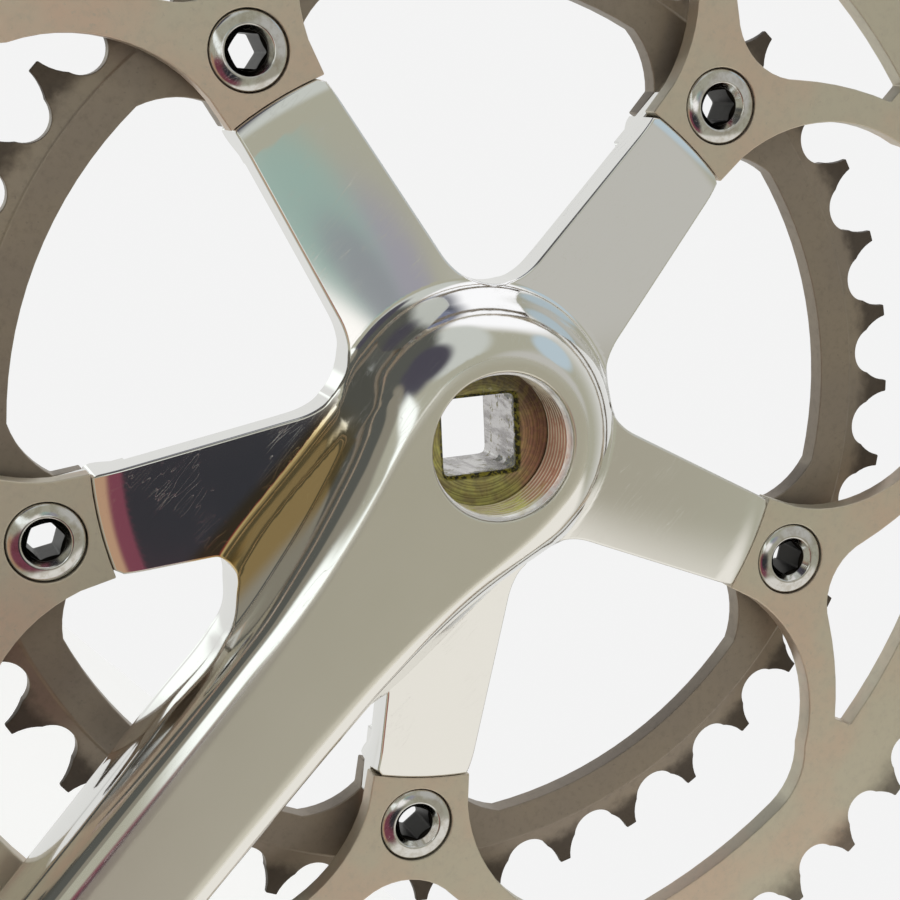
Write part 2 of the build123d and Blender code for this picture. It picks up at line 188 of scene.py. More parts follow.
def tent_round(direction, start, full):
    """A round patch of the tent, from the cosines of the angles where it starts and is full."""
    settings, inputs = {"operation": "DOT_PRODUCT"}, {0: spot, 1: tuple(Vector(direction).normalized())}
    return tent_look.step(tent_look.node("ShaderNodeVectorMath", settings, inputs, "Value"), start, full)


def tent_band(low, high, soft, x_start, x_full):
    """A level strip of the tent between two heights, fading in towards one side."""
    inside = tent_look.step(tent_z, low - soft, low + soft) * tent_look.step(tent_z, high + soft, high - soft)
    return inside * tent_look.step(tent_x, x_start, x_full)


front_left = tent_band(-0.17, -0.01, 0.025, -0.06, -0.16) * tent_look.step(tent_x, -0.88, -0.74)
# each patch's share of the tent and its colour; a later one covers an earlier one
TENT_PATCHES = [
    (tent_round((0.1, 1.0, 0.3), 0.0, 0.6), (0.78, 0.78, 0.76)),
    (tent_round((0.3, -0.7, 0.62), 0.88, 0.97), (0.54, 0.53, 0.49)),
    (tent_round((-0.35, 0.3, 0.89), 0.79, 0.92), (1.08, 1.08, 1.1)),
    (tent_round((0.22, -0.25, 0.95), 0.965, 0.985), (0.50, 0.60, 0.66)),
    (tent_round((-0.75, -0.45, 0.50), 0.86, 0.92), (0.60, 0.62, 0.58)),
    (tent_round((0.5, -0.75, 0.15), 0.955, 0.985), (0.40, 0.375, 0.30)),
    (tent_round((1.0, -0.35, -0.45), 0.74, 0.82), (0.88, 0.85, 0.78)),
    (tent_round((-0.15, -0.7, -0.7), 0.89, 0.96), (0.48, 0.30, 0.19)),
    (tent_round((0.08, -0.90, -0.44), 0.925, 0.968), (0.20, 0.06, 0.085)),
    (tent_round((0.15, -0.96, -0.22), 0.974, 0.995), (0.035, 0.036, 0.042)),
    (tent_round((-0.75, 0.5, 0.35), 0.84, 0.93), (0.09, 0.095, 0.125)),
    (tent_round((-0.95, 0.05, -0.05), 0.76, 0.86), (0.098, 0.10, 0.088)),
    (tent_round((-0.80, -0.45, 0.22), 0.93, 0.97), (0.075, 0.07, 0.09)),
    (tent_round((-0.80, 0.50, -0.33), 0.945, 0.985), (0.08, 0.08, 0.068)),
    (tent_round((-0.72, 0.40, 0.57), 0.970, 0.990), (0.20, 0.22, 0.31)),
    (tent_round((-0.90, -0.38, -0.20), 0.975, 0.990), (0.26, 0.24, 0.19)),
    (front_left, (1.15, 1.2, 1.15)),
    (tent_round((-0.02, -1.0, 0.06), 0.986, 0.995), (1.15, 1.12, 1.08)),
    (tent_round((0.045, -0.975, 0.215), 0.994, 0.998), (0.36, 0.35, 0.40)),
    (tent_round((-0.045, -0.98, 0.185), 0.9955, 0.9990), (0.33, 0.46, 0.41)),
    (tent_round((0.0, -0.98, 0.19), 0.9985, 0.9996), (0.29, 0.31, 0.33)),
]
tent_colour = (0.43, 0.42, 0.335)
for share, colour in TENT_PATCHES:
    tent_colour = tent_look.mix(share, tent_colour, colour)
tent_look.set("Emission Color", tent_colour)
TENT_R = 1.6
longitudes, latitudes = np.linspace(0, 2 * np.pi, 49)[:-1], np.linspace(-np.pi / 2, np.pi / 2, 25)
around, up = np.meshgrid(longitudes, latitudes, indexing="ij")
tent_points = TENT_R * np.stack([np.cos(up) * np.cos(around), np.cos(up) * np.sin(around), np.sin(up)], 2)
rows, cols = tent_points.shape[:2]
corner = np.arange(rows * cols).reshape(rows, cols)
after = np.roll(corner, -1, axis=0)
tent_faces = np.stack([corner[:, :-1], corner[:, 1:], after[:, 1:], after[:, :-1]], 2).reshape(-1, 4)
tent_mesh = bpy.data.meshes.new("light_tent")
tent_mesh.from_pydata(tent_points.reshape(-1, 3).tolist(), [], tent_faces.tolist())
tent = bpy.data.objects.new("light_tent", tent_mesh)
tent.data.materials.append(tent_look.material)
tent_look.material.cycles.emission_sampling = "NONE"
tent.visible_camera = False
tent.visible_shadow = False
bpy.context.scene.collection.objects.link(tent)
tent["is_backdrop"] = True

FLOOR_R = 1.05
floor_z = cad_box[0][2]
floor_mesh = bpy.data.meshes.new("floor")
turn = np.linspace(0, 2 * np.pi, 65)[:-1]
floor_rim = [(FLOOR_R * c, FLOOR_R * s, floor_z) for c, s in zip(np.cos(turn), np.sin(turn))]
floor_mesh.from_pydata(floor_rim, [], [list(range(len(turn)))])
floor = bpy.data.objects.new("floor", floor_mesh)
floor_look = Finish("pale_floor", base_color=(0.86, 0.86, 0.86), roughness=0.9)
floor_look.set("Roughness", floor_look.noise(40) * 0.1 + 0.85)
floor_look.set("Emission Color", (1.0, 1.0, 1.0))
floor_look.set("Emission Strength", 0.22)
floor.data.materials.append(floor_look.material)
bpy.context.scene.collection.objects.link(floor)
floor.visible_glossy = False
floor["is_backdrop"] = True

backdrop = bpy.data.worlds.new("backdrop")
backdrop.use_nodes = True
backdrop.node_tree.nodes["Background"].inputs["Color"].default_value = (0.90, 0.90, 0.90, 1.0)
bpy.context.scene.world = backdrop
bpy.context.scene.view_settings.view_transform = "Standard"

for name, place, size, power in (
    ("key_light", (-0.35, -0.75, 0.55), 0.30, 4.0),
    ("fill_light", (0.75, -0.55, 0.35), 0.45, 4.0),
):
    light_data = bpy.data.lights.new(name, "AREA")
    light_data.size, light_data.energy = size, power
    light = bpy.data.objects.new(name, light_data)
    facing = Vector(place).to_track_quat("Z", "Y").to_matrix().to_4x4()
    light.matrix_world = Matrix.Translation(place) @ facing
    light.visible_camera = False
    light.visible_glossy = False
    bpy.context.scene.collection.objects.link(light)

# ------------------------------------------------------------------------------
# The forging: boss, spider and crank arm are one aluminium forging, ground and
# polished, with a satin flat face outboard. Its plan is one outline, and its
# outboard and inboard faces are heights over that plan. Plan x is right, plan y
# is up, height is outboard from the boss's inboard face, all in millimetres.
# ------------------------------------------------------------------------------
MM = 0.001
ARM_ANGLES = np.radians(90 + 72 * np.arange(5))
LEDGE_R = 57.0
BORE_R = 11.05
EDGE = 0.4
FLAT_R = 13.4
DOME_R = 21.4
WALL_R = 20.7
PEDAL_Y = -170.0
EYE_R = 14.5
PEDAL_HOLE_R = 7.14


def along_arm(y, distances, values):
    """A size that changes down the crank arm: smooth steps between given distances."""
    distances, values = np.asarray(distances, float), np.asarray(values, float)
    d = np.clip(-y, distances[0], distances[-1])
    i = np.clip(np.searchsorted(distances, d, side="right") - 1, 0, len(distances) - 2)
    span = distances[i + 1] - distances[i]
    slopes = np.gradient(values, distances)
    t = (d - distances[i]) / span
    return (
        values[i] * (1 + 2 * t) * (1 - t) ** 2
        + slopes[i] * span * t * (1 - t) ** 2
        + values[i + 1] * t * t * (3 - 2 * t)
        + slopes[i + 1] * span * t * t * (t - 1)
    )


def flat_half_width(y):
    return along_arm(y, [-4, 0, 4, 8, 12.4, 17, 24.6, 32, 38, 48, 60, 115, 150],
                     [13.4, 13.4, 13.25, 12.75, 11.85, 10.8, 9.4, 8.4, 7.9, 7.5, 7.3, 7.1, 7.5])


def ridge_half_width(y):
    return along_arm(y, [0, 9, 13, 19, 24, 29, 34, 41, 48, 75, 115, 150, 166],
                     [19.5, 17.7, 16.9, 15.4, 14.3, 13.4, 12.7, 11.9, 11.6, 11.2, 11.0, 11.3, 12.4])


def web_half_width(y):
    return along_arm(y, [12, 16, 20, 30, 36, 40, 44, 48, 60, 75, 115, 150, 166],
                     [17.0, 18.6, 19.7, 17.9, 16.5, 14.6, 12.5, 11.9, 11.7, 11.4, 11.2, 11.5, 12.6])


def facet_half_width(y):
    return along_arm(y, [6, 14, 20, 27, 34, 38, 44, 48], [17.6, 17.5, 17.3, 17.0, 16.4, 15.6, 13.5, 12.6])


def smooth_max(a, b, k):
    """The larger of two heights, blended where they differ by less than k."""
    h = np.clip(0.5 + 0.5 * (a - b) / k, 0, 1)
    return b + (a - b) * h + k * h * (1 - h)


def smooth_min(a, b, k):
    return -smooth_max(-a, -b, k)


def smooth_step(lo, hi, v):
    t = np.clip((v - lo) / (hi - lo), 0, 1)
    return t * t * (3 - 2 * t)


def round_union(a, b, r):
    """Distance to the union of two shapes, with the inner corner filled to radius r."""
    return np.maximum(r, np.minimum(a, b)) - np.hypot(np.maximum(r - a, 0), np.maximum(r - b, 0))


def forging_outline(x, y):
    """Signed distance to the forging's plan outline, negative inside."""
    star = None
    for angle in ARM_ANGLES:
        along = x * np.cos(angle) + y * np.sin(angle)
        across = -x * np.sin(angle) + y * np.cos(angle)
        half = np.clip(9.1 - 0.0483 * (along - 28), 7.7, 10.5)
        strip = np.maximum(np.abs(across) - half, -along)
        star = strip if star is None else round_union(star, strip, 12.4)
    star = np.minimum(star, np.hypot(x, y) - 21.9)
    radius = np.hypot(x, y)
    star = np.maximum(star, radius - LEDGE_R)
    crank = np.maximum(np.abs(x) - web_half_width(y), np.maximum(y + 12, PEDAL_Y - y))
    eye = np.hypot(x, y - PEDAL_Y) - EYE_R
    crank = round_union(crank, eye, 9.0)
    whole = round_union(star, crank, 3.4)
    whole = np.maximum(whole, BORE_R - radius)
    return np.maximum(whole, PEDAL_HOLE_R - np.hypot(x, y - PEDAL_Y))


def flat_height(y):
    return along_arm(y, [0, 60, 115, 150, 166], [25.5, 25.5, 26.4, 28.0, 28.4])


def uncut_height(x, y):
    """Height of the forging before its flat face is milled.

    A dome round the boss turns into the crank arm's rounded side, which ends at a
    ridge. The spider's arms are a shallow cone. A sloping facet ties the ridge to
    the arms on either side, and larger and smaller blends join them.
    """
    radius = np.hypot(x, y)
    past_flat = np.where(y >= 0, radius - FLAT_R, np.abs(x) - flat_half_width(y))
    past_flat = np.maximum(past_flat, -3.0)
    arm_share = smooth_step(2.0, 17.0, -y)
    inside = (1 - (np.clip(FLAT_R + past_flat, 0, WALL_R) / DOME_R) ** 2.6) ** (1 / 2.6)
    dome = 10.7 + 16.9 * inside - 3.5 * np.maximum(FLAT_R + past_flat - WALL_R, 0)
    ridge_w = ridge_half_width(y)
    ridge_h = along_arm(y, [0, 60, 115, 150, 166], [17.6, 18.3, 19.3, 21.4, 22.0])
    width, drop = ridge_w - flat_half_width(y), flat_height(y) - ridge_h
    share = past_flat / width
    bend = 0.50 + 0.30 * smooth_step(18, 50, -y)
    side = flat_height(y) - drop * ((1 - bend) * share + bend * np.maximum(share, 0) ** 4)
    side = np.where(share < 1, side, ridge_h - 6.0 * (past_flat - width))
    body = dome * (1 - arm_share) + side * arm_share
    facet_w = facet_half_width(y)
    fall = 0.95 * np.maximum(facet_w - ridge_w, 0)
    shallow = ridge_h + 0.95 * (ridge_w - np.abs(x))
    steep = ridge_h - fall - 3.6 * (np.abs(x) - facet_w)
    facet = smooth_min(shallow, steep, 0.9)
    facet = np.minimum(facet, 18.5) - 20 * smooth_step(-6, 4, y)
    end_drop = 0.045 * np.maximum(radius - 52.5, 0) ** 2
    dish = 7.8 + 0.15 * (55.8 - radius) - end_drop
    arms = smooth_max(dish, facet, 3.4)
    eye_r = np.hypot(x, y - PEDAL_Y)
    eye = np.where(eye_r < 22, 28.6 + 0.9 * (EYE_R - 1.2 - eye_r), 0.0)
    body = smooth_max(body, eye, 1.0)
    return smooth_max(body, arms, 6.0 - 4.6 * arm_share)


def outboard_height(x, y):
    return smooth_min(uncut_height(x, y), flat_height(y), 0.5)


def inboard_height(x, y):
    """Height of the forging's inboard face: boss land, dished arms, ring pads and crank back."""
    radius = np.hypot(x, y)
    back = np.interp(radius, [0, 17.5, 21, 30, 40, 51], [0, 0, 2.4, 1.6, 0.0, -1.8])
    back = back + 4.4 * smooth_step(16.5, 18.7, radius) - 4.4 * smooth_step(51.0, 56.2, radius)
    crank_back = along_arm(y, [17, 48, 75, 115, 150, 166], [8.6, 9.7, 10.2, 12.0, 15.0, 15.5])
    share = smooth_step(28, 46, -y) * (1 - smooth_step(12.5, 16, np.abs(x)) * smooth_step(-70, -56, y))
    return back * (1 - share) + crank_back * share


def slope_normal(height, x, y, sign):
    """Unit normals of a height field, from central differences."""
    e = 0.15
    gx = (height(x + e, y) - height(x - e, y)) / (2 * e)
    gy = (height(x, y + e) - height(x, y - e)) / (2 * e)
    n = np.stack([-gx * sign, -gy * sign, np.full_like(gx, sign)], 1)
    return n / np.linalg.norm(n, axis=1)[:, None]


# Marching-square cases: which corners (0-3) and edge points (4-7) make the part
# of a cell that lies inside the outline.
CELL_CASES = {
    1: [(0, 4, 7)], 2: [(1, 5, 4)], 4: [(2, 6, 5)], 8: [(3, 7, 6)],
    3: [(0, 1, 5), (0, 5, 7)], 6: [(1, 2, 6), (1, 6, 4)],
    12: [(2, 3, 7), (2, 7, 5)], 9: [(3, 0, 4), (3, 4, 6)],
    5: [(0, 4, 7), (2, 6, 5)], 10: [(1, 5, 4), (3, 7, 6)],
    7: [(0, 1, 2), (0, 2, 6), (0, 6, 7)], 14: [(1, 2, 3), (1, 3, 7), (1, 7, 4)],
    13: [(2, 3, 0), (2, 0, 4), (2, 4, 5)], 11: [(3, 0, 1), (3, 1, 5), (3, 5, 6)],
}


def plan_mesh(outline, grid_x, grid_y):
    """Points and faces that fill an outline: grid cells inside, cut cells along its edge.

    The grid is two arrays of plan x and y over two parameters. Cut points are
    moved onto the outline along its gradient.
    """
    rows, cols = grid_x.shape
    d = outline(grid_x, grid_y)
    inside = d < 0
    number = np.arange(rows * cols).reshape(rows, cols)

    def crossing(a, b):
        da, db = d.ravel()[a], d.ravel()[b]
        cut = (da < 0) != (db < 0)
        t = np.where(cut, da / np.where(cut, da - db, 1), 0.5)
        px = grid_x.ravel()[a] * (1 - t) + grid_x.ravel()[b] * t
        py = grid_y.ravel()[a] * (1 - t) + grid_y.ravel()[b] * t
        return px, py, t, cut

    across_a, across_b = number[:, :-1].ravel(), number[:, 1:].ravel()
    up_a, up_b = number[:-1, :].ravel(), number[1:, :].ravel()
    ax, ay, at, acut = crossing(across_a, across_b)
    ux, uy, ut, ucut = crossing(up_a, up_b)
    base = rows * cols
    across_id = base + np.arange(len(ax))
    up_id = base + len(ax) + np.arange(len(ux))
    near = 0.12
    px = np.concatenate([grid_x.ravel(), ax, ux])
    py = np.concatenate([grid_y.ravel(), ay, uy])
    on_edge = np.concatenate([np.zeros(base, bool), acut, ucut])
    # a cut very near an inside corner uses that corner, which moves to the outline
    for ids, a, b, t, cut in ((across_id, across_a, across_b, at, acut), (up_id, up_a, up_b, ut, ucut)):
        use_a = cut & (t < near) & inside.ravel()[a]
        use_b = cut & (t > 1 - near) & inside.ravel()[b]
        ids[use_a], ids[use_b] = a[use_a], b[use_b]
        on_edge[a[use_a]] = True
        on_edge[b[use_b]] = True
    e = 0.02
    for _ in range(3):
        qx, qy = px[on_edge], py[on_edge]
        v = outline(qx, qy)
        gx = (outline(qx + e, qy) - outline(qx - e, qy)) / (2 * e)
        gy = (outline(qx, qy + e) - outline(qx, qy - e)) / (2 * e)
        step = np.clip(v / np.maximum(gx * gx + gy * gy, 0.25), -0.4, 0.4)
        px[on_edge] -= step * gx
        py[on_edge] -= step * gy
    across_id, up_id = across_id.reshape(rows, cols - 1), up_id.reshape(rows - 1, cols)
    corner = [number[:-1, :-1], number[:-1, 1:], number[1:, 1:], number[1:, :-1]]
    between = [across_id[:-1], up_id[:, 1:], across_id[1:], up_id[:, :-1]]
    points = np.stack([c.ravel() for c in corner + between], 1)
    code = sum((inside.ravel()[c.ravel()] * (1 << k)) for k, c in enumerate(corner))
    quads = points[code == 15][:, :4]
    triangles = [points[code == case][:, list(tri)] for case, tris in CELL_CASES.items() for tri in tris]
    tris = np.concatenate(triangles)
    good = (tris[:, 0] != tris[:, 1]) & (tris[:, 1] != tris[:, 2]) & (tris[:, 2] != tris[:, 0])
    tris = tris[good]
    used, inverse = np.unique(np.concatenate([quads.ravel(), tris.ravel()]), return_inverse=True)
    quads = inverse[: quads.size].reshape(-1, 4)
    tris = inverse[quads.size:].reshape(-1, 3)
    return px[used], py[used], quads, tris


def edge_pairs(quads, tris, count):
    """Directed edges that only one face uses: the rim of a plan mesh."""
    pairs = np.concatenate(
        [quads[:, [i, (i + 1) % 4]] for i in range(4)] + [tris[:, [i, (i + 1) % 3]] for i in range(3)]
    )
    forward = pairs[:, 0] * count + pairs[:, 1]
    backward = pairs[:, 1] * count + pairs[:, 0]
    return pairs[~np.isin(forward, backward)]


def plate_solid(outline, grid_x, grid_y, top, bottom, edge, bulge, steps=4):
    """A closed solid over a plan: two height fields joined by a wall with rounded edges.

    The wall stands out by the bulge halfway up, like a barrel. Returns points (mm,
    plan axes), normals, quads and triangles.
    """
    px, py, quads, tris = plan_mesh(lambda x, y: outline(x, y) + edge, grid_x, grid_y)
    n = len(px)
    rim = edge_pairs(quads, tris, n)
    rim_points, rim_index = np.unique(rim, return_inverse=True)
    rim_index = rim_index.reshape(rim.shape)
    bx, by = px[rim_points], py[rim_points]
    e = 0.02
    out = np.stack([outline(bx + e, by) - outline(bx - e, by), outline(bx, by + e) - outline(bx, by - e)], 1)
    out /= np.maximum(np.linalg.norm(out, axis=1), 1e-9)[:, None]
    top_n, low_n = slope_normal(top, px, py, 1), slope_normal(bottom, px, py, -1)
    points = [np.stack([px, py, top(px, py)], 1)]
    normals = [top_n]
    top_b, low_b = top(bx, by), bottom(bx, by)
    edge_here = np.minimum(edge, 0.35 * (top_b - low_b))
    swell = bulge(bx, by)
    tall = np.maximum(top_b - low_b - 2 * edge_here, 0.1)
    rows = [(top_b, -1, top_n[rim_points], np.pi / 2 * k / steps) for k in range(1, steps + 1)]
    rows += [(t, 0, None, None) for t in (0.15, 0.35, 0.5, 0.65, 0.85)]
    rows += [(low_b, 1, low_n[rim_points], np.pi / 2 * k / steps) for k in range(steps, 0, -1)]
    for height, sign, face_n, a in rows:
        if sign:
            z = height + sign * edge_here * (1 - np.cos(a))
            reach = np.full_like(z, edge * np.sin(a))
            mix = np.concatenate([out * np.sin(a), np.zeros((len(bx), 1))], 1) + face_n * np.cos(a)
        else:
            z = top_b - edge_here - height * tall
            reach = edge + swell * 4 * height * (1 - height)
            lean = swell * 4 * (1 - 2 * height) / tall
            mix = np.concatenate([out, lean[:, None]], 1)
        points.append(np.stack([bx + out[:, 0] * reach, by + out[:, 1] * reach, z], 1))
        normals.append(mix / np.linalg.norm(mix, axis=1)[:, None])
    points.append(np.stack([px, py, bottom(px, py)], 1))
    normals.append(low_n)
    starts = np.cumsum([0] + [len(p) for p in points])
    layers = [rim_points] + [starts[k] + np.arange(len(rim_points)) for k in range(1, len(rows) + 1)]
    layers.append(starts[-2] + rim_points)
    walls = [
        np.stack([a[rim_index[:, 0]], b[rim_index[:, 0]], b[rim_index[:, 1]], a[rim_index[:, 1]]], 1)
        for a, b in zip(layers[:-1], layers[1:])
    ]
    all_quads = np.concatenate([quads] + walls + [starts[-2] + quads[:, ::-1]])
    all_tris = np.concatenate([tris, starts[-2] + tris[:, ::-1]])
    return np.concatenate(points), np.concatenate(normals), all_quads, all_tris


def row_axes(plan):
    """Plan x, y and height turned into the object's own axes: X, Y inboard, Z up."""
    return np.stack([plan[:, 0], -plan[:, 2], plan[:, 1]], 1)


def new_piece(name, points, quads, tris=None, normals=None, attributes=None):
    """A mesh object from plan points in millimetres, smooth, with its own normals."""
    mesh = bpy.data.meshes.new(name)
    faces = quads.tolist() + ([] if tris is None else tris.tolist())
    mesh.from_pydata((row_axes(points) * MM).tolist(), [], faces)
    mesh.polygons.foreach_set("use_smooth", np.ones(len(mesh.polygons), bool))
    for key, values in (attributes or {}).items():
        layer = mesh.attributes.new(key, "FLOAT", "POINT")
        layer.data.foreach_set("value", np.asarray(values, np.float32))
    if normals is not None:
        mesh.normals_split_custom_set_from_vertices(row_axes(normals).tolist())
    mesh.update()
    piece = bpy.data.objects.new(name, mesh)
    bpy.context.scene.collection.objects.link(piece)
    return piece


def spaced(*stretches):
    """Grid positions: (from, to, step) stretches joined end to end."""
    parts = [np.linspace(a, b, max(2, int(round(abs(b - a) / s)) + 1))[:-1] for a, b, s in stretches]
    return np.concatenate(parts + [[stretches[-1][1]]])


# grid lines follow the edges of the flat and the ridge down the crank arm
u = spaced((0, 1, 0.05), (1, 2, 0.06), (2, 8, 0.35), (8, 16, 0.6), (16, 60, 1.0))
u = np.concatenate([-u[:0:-1], u])
v = spaced(
    (60, 50, 0.7), (50, 26, 1.0), (26, -30, 0.47), (-30, -60, 0.65), (-60, -152, 2.2), (-152, -186, 0.75)
)[::-1]
grid_u, grid_y = np.meshgrid(u, v)
size_u = np.abs(grid_u)
flat_w, ridge_w = flat_half_width(grid_y), ridge_half_width(grid_y)
grid_x = np.sign(grid_u) * np.where(
    size_u < 1,
    flat_w * size_u,
    np.where(size_u < 2, flat_w + (ridge_w - flat_w) * (size_u - 1), ridge_w + size_u - 2),
)


def arm_wall_bulge(x, y):
    """How far the crank arm's wall stands out: 0.55 mm between the spider and the eye."""
    beside = smooth_step(0, 0.5, 30 - np.abs(x)) * (np.hypot(x, y) > 30)
    return 0.55 * smooth_step(36, 52, -y) * beside * smooth_step(150, 140, -y)


points, normals, quads, tris = plate_solid(
    forging_outline, grid_x, grid_y, outboard_height, inboard_height, EDGE, arm_wall_bulge
)
milled = np.clip(uncut_height(points[:, 0], points[:, 1]) - flat_height(points[:, 1]), -2, 2)
milled = np.where(points[:, 2] > 20, milled, -2)
shells = [(points, normals, quads, tris)]

# the five pads that the chainrings bolt to, between the rings
for angle in ARM_ANGLES:
    lengthwise, sidewise = np.meshgrid(spaced((49.0, 73.0, 0.8)), spaced((-9.0, 9.0, 0.8)))
    cos, sin = np.cos(angle), np.sin(angle)

    def pad_outline(x, y):
        along, across = x * cos + y * sin, -x * sin + y * cos
        past_corner = np.hypot(np.maximum(along - 68.6, 0), np.maximum(np.abs(across) - 4.6, 0))
        corner = np.maximum(past_corner - 3.0, 50 - along)
        plate = np.maximum(corner, np.abs(across) - 7.6)
        return np.maximum(plate, 5.08 - np.hypot(along - 65, across))

    shells.append(plate_solid(
        pad_outline, lengthwise * cos - sidewise * sin, lengthwise * sin + sidewise * cos,
        lambda x, y: np.full_like(x, 3.2), lambda x, y: np.full_like(x, -0.1), 0.2,
        lambda x, y: np.zeros_like(x), 2,
    ))


def joined(shells):
    """Several closed shells as one set of points, normals, quads and triangles."""
    starts = np.cumsum([0] + [len(shell[0]) for shell in shells])
    return (
        np.concatenate([shell[0] for shell in shells]),
        np.concatenate([shell[1] for shell in shells]),
        np.concatenate([shell[2] + start for shell, start in zip(shells, starts)]),
        np.concatenate([shell[3] + start for shell, start in zip(shells, starts)]),
    )


def turned_ring(radius, height, centre=(0.0, 0.0)):
    """A closed ring from radius and height over (profile row, angle), both wrapping round.

    Normals are the cross product of the two directions of the grid.
    """
    rows, cols = radius.shape
    phi = np.linspace(0, 2 * np.pi, cols + 1)[:-1]
    grid = np.stack([radius * np.cos(phi) + centre[0], radius * np.sin(phi) + centre[1], height], 2)
    along = np.roll(grid, -1, 0) - np.roll(grid, 1, 0)
    round_ = np.roll(grid, -1, 1) - np.roll(grid, 1, 1)
    normal = np.cross(along, round_)
    normal /= np.maximum(np.linalg.norm(normal, axis=2), 1e-12)[:, :, None]
    number = np.arange(rows * cols).reshape(rows, cols)
    down, side = np.roll(number, -1, 0), np.roll(number, -1, 1)
    faces = np.stack([number, down, np.roll(down, -1, 1), side], 2).reshape(-1, 4)
    return grid.reshape(-1, 3), normal.reshape(-1, 3), faces, np.zeros((0, 3), int)


def square_hole(phi, half):
    """Distance from the axis to a square hole with slightly rounded corners, corners at 0 and 90 degrees."""
    a = phi + np.pi / 4
    return half / (np.abs(np.cos(a)) ** 14 + np.abs(np.sin(a)) ** 14) ** (1 / 14)


# the bore: a smooth mouth, a fine thread for the puller, a shoulder, and the tapered square for the spindle
turns = np.linspace(0, 2 * np.pi, 181)[:-1]
mouth = [(12.0, 24.6), (11.3, 24.85), (11.06, 24.95), (11.02, 24.7), (11.0, 24.2)]
thread_h = np.arange(24.0, 16.2, -0.125)
shoulder = [(11.0, 16.1), (11.0, 15.85), (10.9, 15.72), (10.0, 15.7), (9.0, 15.7)]
flat_rows = mouth + [(None, h) for h in thread_h] + shoulder
bore_r = np.stack([
    np.full_like(turns, r) if r is not None
    else 10.45 + 0.55 * (1 - np.abs(2 * np.mod((h / 1.0 + turns / (2 * np.pi)), 1) - 1))
    for r, h in flat_rows
])
bore_h = np.stack([np.full_like(turns, h) for r, h in flat_rows])
socket_h = np.concatenate([[15.68, 15.5, 15.2, 14.95, 14.6], np.linspace(13.5, 0.5, 14), [0.3, 0.12, 0.02]])
flare = np.interp(
    socket_h,
    [0.0, 0.12, 0.3, 0.5, 14.6, 14.95, 15.2, 15.5, 15.68],
    [0.5, 0.4, 0.2, 0.0, 0.0, 0.08, 0.35, 0.65, 0.8],
)
half = 6.35 - np.tan(np.radians(2)) * socket_h
socket_r = square_hole(turns[None, :], half[:, None]) + flare[:, None]
land_r = np.stack([np.full_like(turns, r) for r in (9.9, 10.8, 11.38, 12.0, 12.0)])
land_h = np.stack([np.full_like(turns, h) for h in (0.0, 0.0, 0.0, 0.6, 12.0)])
bore = turned_ring(
    np.concatenate([bore_r, socket_r, land_r]),
    np.concatenate([bore_h, np.repeat(socket_h[:, None], len(turns), 1), land_h]),
)
shells.append(bore)
first_bore_face = sum(len(shell[2]) for shell in shells[:-1])
points, normals, quads, tris = joined(shells)
milled = np.concatenate([milled, np.full(len(points) - len(milled), -2.0)])
# valley: the crank's left side near the boss, where a golden painted reflection goes into the metal's colour
valley = smooth_step(12.6, 14.6, -points[:, 0]) * smooth_step(21.5, 19.5, -points[:, 0])
valley = valley * smooth_step(8, 16, -points[:, 1]) * smooth_step(50, 42, -points[:, 1])
valley = np.where((normals[:, 2] > 0.15) & (points[:, 2] < 19.5), valley, 0)
forging = new_piece("crank_forging", points, quads, tris, normals, {"milled": milled, "valley": valley})
in_bore = np.zeros(len(forging.data.polygons), np.int32)
in_bore[first_bore_face:len(quads)] = 1
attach(forging, "root")
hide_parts("crank_arm")

polished = Finish("polished_forging", metallic=1.0)
flat_mask = polished.node("ShaderNodeAttribute", {"attribute_name": "milled"}, out="Fac")
flat_mask = polished.step(flat_mask, -0.15, 0.1)
smudge = polished.noise(14, 4.0)
cloud = polished.noise(3.0, 4.0, (1, 1, 2.2), (0, 0.5, 0))
rub = polished.scratches(0.6, 110, 0.6) + polished.scratches(-0.5, 90, 0.9)
rub = rub + polished.scratches(1.5, 100, 0.7) * 0.7
rub = rub.math("MINIMUM", 1.0)
brush = polished.noise(0.12, 2.0, (1, 1, 60), (0, 0.44, 0))
# painted reflection: a golden tint in the valley that stands in for coloured surroundings mirrored there
painted_gold_reflection = polished.node("ShaderNodeAttribute", {"attribute_name": "valley"}, out="Fac")
bright = polished.mix(painted_gold_reflection * 0.85, (0.88, 0.88, 0.87), (0.80, 0.58, 0.24))
polished.set("Base Color", polished.mix(flat_mask, bright, (0.79, 0.78, 0.71)))
gloss = 0.05 + smudge * 0.05 + cloud * 0.02 + rub * 0.18
satin = 0.27 + smudge * 0.10 + brush * 0.05 + rub * 0.06
polished.set("Roughness", gloss + (satin - gloss) * flat_mask)
height = cloud * 0.12 + rub * -0.6 + brush * flat_mask * 0.5
polished.set("Normal", polished.bump(height, 0.22, 0.00002))
forging.data.materials.append(polished.material)

greasy = Finish("greasy_bore_and_painted_light", metallic=1.0)
xyz = greasy.node("ShaderNodeSeparateXYZ", inputs={0: greasy.here}, out=0)
greasy_parts = xyz.socket.node
depth = Value(greasy.tree, greasy_parts.outputs[1]) * 1000.0
side_x = Value(greasy.tree, greasy_parts.outputs[0]) * 1000.0
side_y = Value(greasy.tree, greasy_parts.outputs[2]) * 1000.0
from_axis = (side_x * side_x + side_y * side_y).math("SQRT")
blotch = greasy.noise(2.2, 4.0)
fine_blotch = greasy.noise(0.7, 4.0)
clean = greasy.step(depth + blotch * 3.0 + side_x * 0.10 + side_y * 0.06, -20.4, -22.4)
in_square = greasy.step(depth, -15.9, -15.3)
rust = greasy.step(side_x * 0.8 + side_y * 0.8 + blotch * 5.0, 6.5, 12.0)
